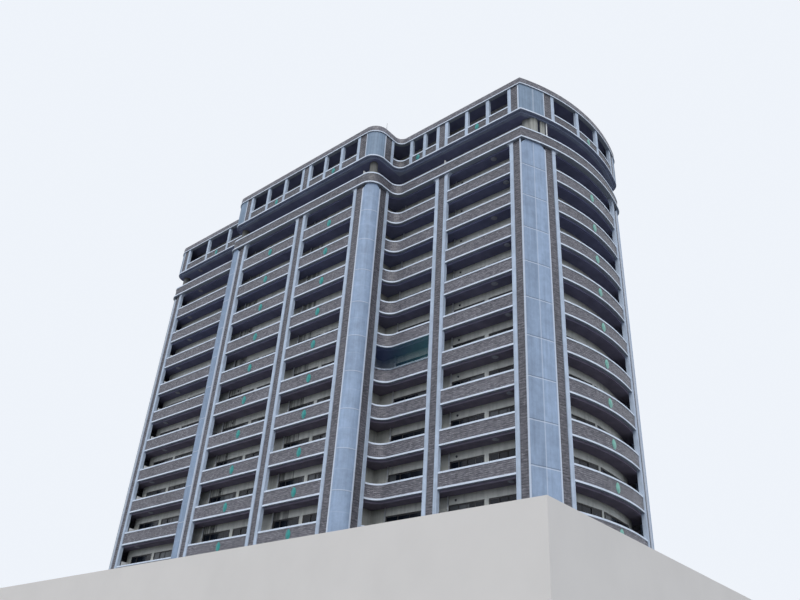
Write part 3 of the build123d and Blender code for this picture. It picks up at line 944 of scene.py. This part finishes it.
boardShape = newShape()
place = frontSpot(boards["leftWingX"], bays["leftWing"]["y"])
for storey in range(1, building["parapetRows"] + 1):
    level = floorLevel(storey)
    addBoard(boardShape, place, boards["front"], level, level + boards["height"])
recessFloor = floorLevel(building["recessStorey"])
for x, y in boards["recessPlaces"]:
    top = recessFloor + boards["recessHeight"]
    addBoard(boardShape, frontSpot(x, y), boards["recessFront"], recessFloor, top)
makePiece("partitionBoards", boardShape, metalFinish("boardPaint", (0.72, 0.73, 0.72, 1), 0.6))

# Rain pipes in the recessed storey and on the walls of four bays, with collars
pipe = {
    "radius": 0.026,
    "spots": ((3.4, -3.35), (7.0, -1.83), (-4.05, -3.35)),
    "bowSpot": (10.955, -1.34),  # it stands on the cornice
    "bays": ("middleLeft", "middleRight", "hollow", "rightWing"),
    "bayInset": 0.545,
    "aside": 0.1,
    "foot": 0.012,
    "footBevel": 0.004,
    "collar": 0.05,
    "collarWide": 1.25,
    "bevel": 0.005,
}
pipeShape = newShape()
rise = building["storeyHeight"] - building["slab"]


def addPipe(x, y, floor, foot, footWide, collar, sides):
    radius, wide, bevel = pipe["radius"], pipe["collarWide"], pipe["bevel"]
    profile = (
        (footWide, foot),
        (footWide, foot + pipe["foot"]),
        (1.0, foot + pipe["foot"] + pipe["footBevel"]),
        (1.0, collar),
        (wide, collar + bevel),
        (wide, collar + pipe["collar"]),
        (1.0, collar + pipe["collar"] + bevel),
        (1.0, rise),
    )
    up, across = Vector((0, 0, 1)), Vector((1, 0, 0))
    addTurned(pipeShape, Vector((x, y, floor)), up, across, widened(radius, profile), sides)


for x, y in pipe["spots"]:
    addPipe(x, y, recessFloor, foot=0, footWide=1.7, collar=0.6, sides=16)
coping = building["railing"] + 0.001
addPipe(*pipe["bowSpot"], recessFloor, foot=coping, footWide=1.7, collar=0.6, sides=16)
for name in pipe["bays"]:
    point = spot(bays[name], 0.0, pipe["bayInset"])[0]
    for storey in range(1, building["recessStorey"]):
        x, floor = point.x + pipe["aside"], floorLevel(storey)
        addPipe(x, point.y, floor, foot=0, footWide=1.5, collar=0.9, sides=12)
pipePaint = metalFinish("pipePaint", (0.6, 0.61, 0.61, 1), 0.5)
makePiece("rainPipes", pipeShape, pipePaint, smooth=True)

# Cream casing round the recess column of the sharp corner, and a panel beside it
casing = {
    "wall": 0.01,
    "gap": 0.001,
    "sides": 40,
    "column": (10.378, -1.854, 0.19),  # these three are upright cylinders: X, Y and radius
    "behind": (10.5, -1.795, 0.18),
    "over": (10.55, -1.77, 0.235),
    "panelShare": -0.096,
    "panelInset": 0.09,
    "panelAlong": (-0.13, 0.105),
    "panelThick": 0.02,
}


def casingLine(outer, thinner):
    # Round the column and an outer cylinder in plan, like a string drawn tight
    points = []
    for i in range(casing["sides"]):
        turn = 2 * math.pi * i / casing["sides"]
        pair = (casing["column"], outer)
        reach = [x * math.cos(turn) + y * math.sin(turn) + radius for x, y, radius in pair]
        x, y, radius = pair[reach[1] > reach[0]]
        radius -= thinner
        points.append((x + radius * math.cos(turn), y + radius * math.sin(turn)))
    return points


def addCasing(shape, outer, low, high):
    # Four rings: outside low and high, then inside low and high
    count, first = casing["sides"], len(shape["verts"])
    for thinner in (0.0, casing["wall"]):
        for height in (low, high):
            shape["verts"] += [(x, y, height) for x, y in casingLine(outer, thinner)]
    for start, end in ((0, 1), (1, 3), (3, 2), (2, 0)):
        for i in range(count):
            after = (i + 1) % count
            a, b = first + start * count, first + end * count
            shape["faces"].append((a + i, a + after, b + after, b + i))


casingShape = newShape()
gap = casing["gap"]
rail = recessFloor + building["railing"]
upper = (rail + gap, recessFloor + rise - gap)
addCasing(casingShape, casing["behind"], recessFloor + gap, rail)
addCasing(casingShape, casing["over"], *upper)
place = spot(bays["bow"], casing["panelShare"], casing["panelInset"])
addBlock(casingShape, place, casing["panelAlong"], (0.0, casing["panelThick"]), upper)
# The casing's cream is darkened as painted shade
shadedCasingCream = wallFinish("shadedCasingCream", wallLook["shadedCasingCream"], fineness=16, grime=0.25)
makePiece("cornerCasing", casingShape, shadedCasingCream)
print("boards, pipes and casing made")

# Net stretched over one balcony of the hollow corner, in heights over its coping
net = {
    "storey": 5,
    "lift": 0.012,
    "from": -0.08,
    "to": 0.9,
    "columns": 96,
    "rows": 24,
    "cornerCentre": (4.725, -2.96),
    "cornerRadius": 0.475,
    "endX": 6.408,
    "sag": 0.012,
    "sagWaves": 23.0,
    "ripple": 0.004,
    "rippleWaves": (61.0, 5.0),  # along and up
    "nearBy": 0.01,
}
netRadius = net["cornerRadius"] - net["lift"]
netArc = netRadius * math.pi / 2
netLength = netArc + net["endX"] - net["cornerCentre"][0]


def netPoint(distance):
    # Along the hollow corner: out of the side wall, round the corner, then along the front
    x, y = net["cornerCentre"]
    if distance < netArc:
        turn = math.pi - distance / netRadius
        return Vector((x + netRadius * math.cos(turn), y + netRadius * math.sin(turn), 0))
    return Vector((x + distance - netArc, bays["hollow"]["y"] - net["lift"], 0))


netShape = newShape()
base = floorLevel(net["storey"]) + building["railing"]
for row in range(net["rows"] + 1):
    up = row / net["rows"]
    height = base + net["from"] + (net["to"] - net["from"]) * up
    for column in range(net["columns"] + 1):
        share = column / net["columns"]
        along = share * netLength
        ahead = netPoint(min(along + net["nearBy"], netLength))
        behind = netPoint(max(along - net["nearBy"], 0))
        away = (ahead - behind).normalized()
        wave = 0.5 + 0.5 * math.sin(share * net["sagWaves"])
        sag = net["sag"] * math.sin(up * math.pi) * wave
        acrossWaves, upWaves = net["rippleWaves"]
        ripple = net["ripple"] * math.sin(share * acrossWaves + up * upWaves)
        corner = netPoint(along) + Vector((away.y, -away.x, 0)) * abs(sag + ripple)
        netShape["verts"].append((corner.x, corner.y, height))
for row in range(net["rows"]):
    for column in range(net["columns"]):
        low = row * (net["columns"] + 1) + column
        high = low + net["columns"] + 1
        netShape["faces"].append((low, low + 1, high + 1, high))

netLook = {
    "mesh": 0.006,  # half of the spacing of its threads
    "thread": 0.0013,
    "left": (0.002, 0.016, 0.06, 1),
    "right": (0.025, 0.11, 0.13, 1),
    "fade": (4.4, 6.2),
}


def netFinish(name):
    # Open weave: threads both ways, with the gaps left clear
    material, nodes = tree(name)
    parts = split(nodes, objectPlace(nodes))
    along = alongFacade(nodes, parts, faceNormal(nodes))
    threads = [
        isUnder(nodes, calc(nodes, "PINGPONG", way, netLook["mesh"]), netLook["thread"])
        for way in (along, parts["Z"])
    ]
    sideways = remap(nodes, parts["X"], *netLook["fade"], 0.0, 1.0)
    colour = blend(nodes, sideways, netLook["left"], netLook["right"])
    sockets = {"Base Color": colour, "Roughness": 0.7, "Alpha": either(nodes, *threads)}
    surface = add(nodes, "ShaderNodeBsdfPrincipled", sockets)
    surface.inputs["Specular IOR Level"].default_value = 0.15
    output = add(nodes, "ShaderNodeOutputMaterial")
    nodes.links.new(surface.outputs[0], output.inputs[0])
    return material


netPiece = makePiece("balconyNet", netShape, netFinish("tealNet"), smooth=True)
print("net made")

# Surroundings: a pale terrace that the building stands on, and a lower floor
stageLook = {
    "frontY": -4.6,
    "rightX": 12.2,
    "farAway": 60.0,
    "top": -0.002,
    "lower": -7.5,
    "lowerThick": 0.1,
    "pale": (0.68, 0.645, 0.605, 1),
    "dark": (0.14, 0.14, 0.14, 1),
}


def isSeen(nodes):
    # 1 for rays from the camera, also by way of a mirror or glass
    path = add(nodes, "ShaderNodeLightPath").outputs
    bounced = either(nodes, path["Is Glossy Ray"], path["Is Transmission Ray"])
    return either(nodes, path["Is Camera Ray"], bounced)


def stageFinish(name):
    # Pale to the camera, and dark to other rays so that it throws little light up
    material, nodes = tree(name)
    position = objectPlace(nodes)
    mottled = varied(nodes, position, scale=0.4, spread=(0.3, 0.7), tones=(0.97, 1.03), detail=4.0)
    pale = toned(nodes, stageLook["pale"], mottled)
    pale = add(nodes, "ShaderNodeBsdfDiffuse", {"Color": pale}).outputs[0]
    dark = add(nodes, "ShaderNodeBsdfDiffuse", {"Color": stageLook["dark"]}).outputs[0]
    mixed = add(nodes, "ShaderNodeMixShader", {0: isSeen(nodes), 1: dark, 2: pale})
    output = add(nodes, "ShaderNodeOutputMaterial")
    nodes.links.new(mixed.outputs[0], output.inputs[0])
    return material


stageFloor = stageFinish("paleFloor")
axes = (Vector((0, 0, 0)), Vector((1, 0, 0)), Vector((0, 1, 0)))
terrace, lower = newShape(), newShape()
far, bottom = stageLook["farAway"], stageLook["lower"]
levels = (bottom, stageLook["top"])
addBlock(terrace, axes, (-far, stageLook["rightX"]), (stageLook["frontY"], far), levels)
levels = (bottom - stageLook["lowerThick"], bottom)
addBlock(lower, axes, (-2 * far, 2 * far), (-2 * far, 2 * far), levels)
makeObject("terrace", terrace, stageFloor)
makeObject("lowerFloor", lower, stageFloor)

# Light: a bright soft sky above, little from below, and a weak wide sun
sky = {
    "zenith": (0.94, 1.04, 1.2, 1),
    "ground": (0.16, 0.17, 0.21, 1),
    "seen": (0.86, 0.90, 0.96, 1),
    "horizon": (-0.08, 0.12),
    "sun": 1.6,
    "sunSize": 35,
    "sunColour": (1.0, 0.97, 0.92),
    "sunFrom": (0.45, -0.65, 0.8),
}
world = bpy.data.worlds.new("paleSky")
bpy.context.scene.world = world
world.use_nodes = True
airNodes = world.node_tree
airNodes.nodes.clear()
direction = split(airNodes, add(airNodes, "ShaderNodeTexCoord").outputs["Generated"])
upward = remap(airNodes, direction["Z"], *sky["horizon"], 0.0, 1.0)
air = blend(airNodes, upward, sky["ground"], sky["zenith"])
lit = add(airNodes, "ShaderNodeBackground", {"Color": air, "Strength": 1.0})
seen = add(airNodes, "ShaderNodeBackground", {"Color": sky["seen"], "Strength": 1.0})
sockets = {0: isSeen(airNodes), 1: lit.outputs[0], 2: seen.outputs[0]}
mixed = add(airNodes, "ShaderNodeMixShader", sockets)
worldOut = add(airNodes, "ShaderNodeOutputWorld")
airNodes.links.new(mixed.outputs[0], worldOut.inputs[0])

sunData = bpy.data.lights.new("softSun", "SUN")
sunData.energy = sky["sun"]
sunData.angle = math.radians(sky["sunSize"])
sunData.color = sky["sunColour"]
sun = bpy.data.objects.new("softSun", sunData)
sun.rotation_mode = "QUATERNION"
sun.rotation_quaternion = Vector(sky["sunFrom"]).to_track_quat("Z", "Y")
bpy.context.scene.collection.objects.link(sun)

# Camera, fitted to the photo's lines
view = {
    "place": (21.923, -21.403, -6.025),
    "yaw": -0.7336214,
    "pitch": 0.5422934,
    "roll": 0.0679516,
    "lens": 34.62,
    "sensor": 36,
    "farthest": 400,
}
yaw, pitch, roll = view["yaw"], view["pitch"], view["roll"]
flat = math.cos(pitch)
forward = Vector((math.sin(yaw) * flat, math.cos(yaw) * flat, math.sin(pitch)))
level = Vector((math.cos(yaw), -math.sin(yaw), 0))
lift = level.cross(forward)
right = level * math.cos(roll) + lift * math.sin(roll)
upright = lift * math.cos(roll) - level * math.sin(roll)
turned = Matrix((right, upright, -forward)).transposed().to_4x4()
cameraData = bpy.data.cameras.new("photoCamera")
cameraData.lens = view["lens"]
cameraData.sensor_width = view["sensor"]
cameraData.clip_end = view["farthest"]
camera = bpy.data.objects.new("photoCamera", cameraData)
camera.matrix_world = Matrix.Translation(view["place"]) @ turned
bpy.context.scene.collection.objects.link(camera)
bpy.context.scene.camera = camera
bpy.context.scene.view_settings.view_transform = "Standard"
print("stage, light and camera ready")
